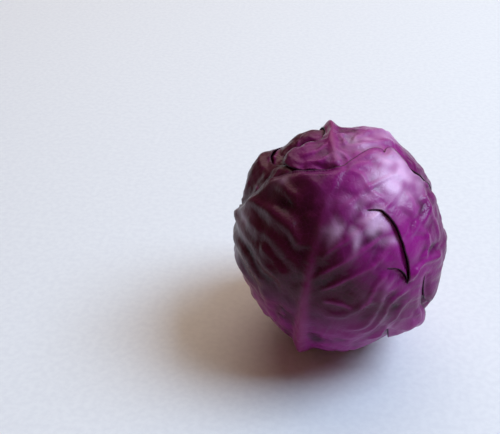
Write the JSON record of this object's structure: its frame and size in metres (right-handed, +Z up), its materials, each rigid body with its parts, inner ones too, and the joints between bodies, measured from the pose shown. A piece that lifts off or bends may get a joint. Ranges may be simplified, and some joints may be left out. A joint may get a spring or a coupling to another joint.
{
  "type": "cabbage head",
  "caption": "Round head of red cabbage standing on its cut stalk, with loose waxy outer leaves that lap over a packed heart.",
  "frame": {"origin": "middle of the stalk's flat cut face, on which the head stands", "axes": "+Z up from the cut face to the crown, -Y towards the side that the front leaf wraps, +X to that side's right"},
  "size_m": [0.1351, 0.1396, 0.1446],
  "materials": {
    "outer_leaf": "waxy purple leaf with a pale bloom, satin",
    "inner_leaf": "smooth red-purple leaf, satin",
    "heart_leaf": "tightly packed purple leaves, satin",
    "stalk": "cut creamy white flesh, matte"
  },
  "bodies": {
    "root": {"heart": "heart_leaf", "cut_stalk": "stalk", "inner_front_leaf": "inner_leaf", "upper_left_leaf": "outer_leaf", "right_back_leaf": "outer_leaf", "left_leaf": "outer_leaf", "crown_leaf": "outer_leaf", "lower_right_leaf": "outer_leaf", "lower_back_leaf": "outer_leaf", "front_leaf": "outer_leaf"}
  },
  "joints": []
}
